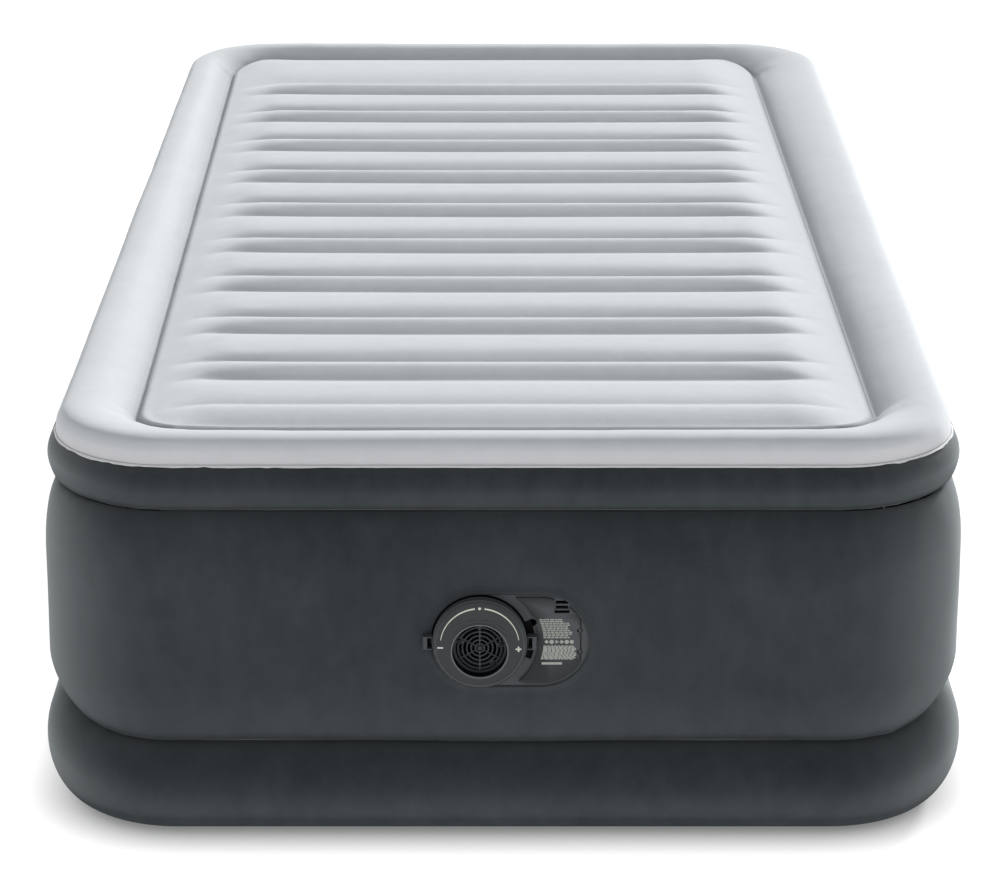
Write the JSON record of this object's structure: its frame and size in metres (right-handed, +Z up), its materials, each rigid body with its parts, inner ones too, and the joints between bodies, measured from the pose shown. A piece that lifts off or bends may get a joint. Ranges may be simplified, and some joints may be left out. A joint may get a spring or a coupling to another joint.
{
  "type": "raised air bed with built-in pump",
  "caption": "Raised flocked air bed: ribbed sleeping top inside a grooved border, barrel side walls on a base ring, and a mains pump with dial, vent and cord door.",
  "frame": {"origin": "on the floor, at the middle of the bottom sheet", "axes": "+Z up, +Y along the bed from the foot end with the pump to the head end, +X to the right seen from the foot end"},
  "size_m": [0.99, 1.9165, 0.4435],
  "materials": {
    "dark_flock": "charcoal flocked PVC, velvet-like",
    "light_flock": "light grey flocked PVC, velvet-like",
    "inner_pvc": "plain PVC sheet",
    "pump_plastic": "fine-grained black moulding",
    "dial_plastic": "satin charcoal moulding",
    "soft_rubber": "matt black, flexible",
    "plated_steel": "zinc plated",
    "brass": "bright"
  },
  "bodies": {
    "root": {"base_ring": "dark_flock", "main_wall": "dark_flock", "upper_band": "dark_flock", "border_top_sheet": "light_flock", "sleeping_panel": "light_flock", "bottom_sheet": "inner_pvc", "crease_band": "inner_pvc", "border_floor_sheet": "inner_pvc", "border_inner_wall": "inner_pvc", "beam_01": "inner_pvc", "beam_02": "inner_pvc", "beam_03": "inner_pvc", "beam_04": "inner_pvc", "beam_05": "inner_pvc", "beam_06": "inner_pvc", "beam_07": "inner_pvc", "beam_08": "inner_pvc", "beam_09": "inner_pvc", "beam_10": "inner_pvc", "beam_11": "inner_pvc", "beam_12": "inner_pvc", "beam_13": "inner_pvc", "beam_14": "inner_pvc", "beam_15": "inner_pvc", "beam_16": "inner_pvc", "beam_17": "inner_pvc", "beam_18": "inner_pvc", "beam_19": "inner_pvc", "pump_housing": "pump_plastic", "front_plate": "pump_plastic", "cord_tub": "pump_plastic", "volute_cover": "pump_plastic", "motor_endcap": "pump_plastic", "micro_switch": "pump_plastic", "pump_collar": "soft_rubber", "rotor_seal": "soft_rubber", "strain_relief": "soft_rubber", "power_cord": "soft_rubber", "mains_plug": "soft_rubber", "motor_bracket": "plated_steel", "motor_can": "plated_steel", "front_bearing": "plated_steel", "rear_bearing": "plated_steel", "flap_hinge_pin": "plated_steel", "door_hinge_pin": "plated_steel", "plug_pin_1": "brass", "plug_pin_2": "brass"},
    "dial": {"control_dial": "dial_plastic", "vent_grille": "pump_plastic", "grille_screw_1": "plated_steel", "grille_screw_2": "plated_steel", "grille_screw_3": "plated_steel", "valve_rotor": "pump_plastic", "rotor_retainer": "pump_plastic"},
    "door": {"cord_door": "dial_plastic"},
    "blower": {"impeller": "pump_plastic", "motor_shaft": "plated_steel", "motor_armature": "brass"},
    "plunger": {"switch_plunger": "pump_plastic"},
    "flap": {"check_valve_flap": "soft_rubber"}
  },
  "joints": [
    {"name": "dial_turn", "type": "hinge", "parent": "root", "child": "dial", "pos_m": [-0.0245, -0.9475, 0.229], "axis": [0, -1, 0], "range_deg": [-90, 90]},
    {"name": "door_swing", "type": "hinge", "parent": "root", "child": "door", "pos_m": [0.0785, -0.9489, 0.229], "axis": [0, 0, 1], "range_deg": [0, 110]},
    {"name": "fan_spin", "type": "hinge", "parent": "root", "child": "blower", "pos_m": [-0.0245, -0.9475, 0.229], "axis": [0, -1, 0], "continuous": true},
    {"name": "plunger_press", "type": "slide", "parent": "root", "child": "plunger", "axis": [1, 0, 0], "range_m": [0, 0.001]},
    {"name": "flap_swing", "type": "hinge", "parent": "root", "child": "flap", "pos_m": [0.0555, -0.85, 0.248], "axis": [1, 0, 0], "range_deg": [0, 60]}
  ]
}
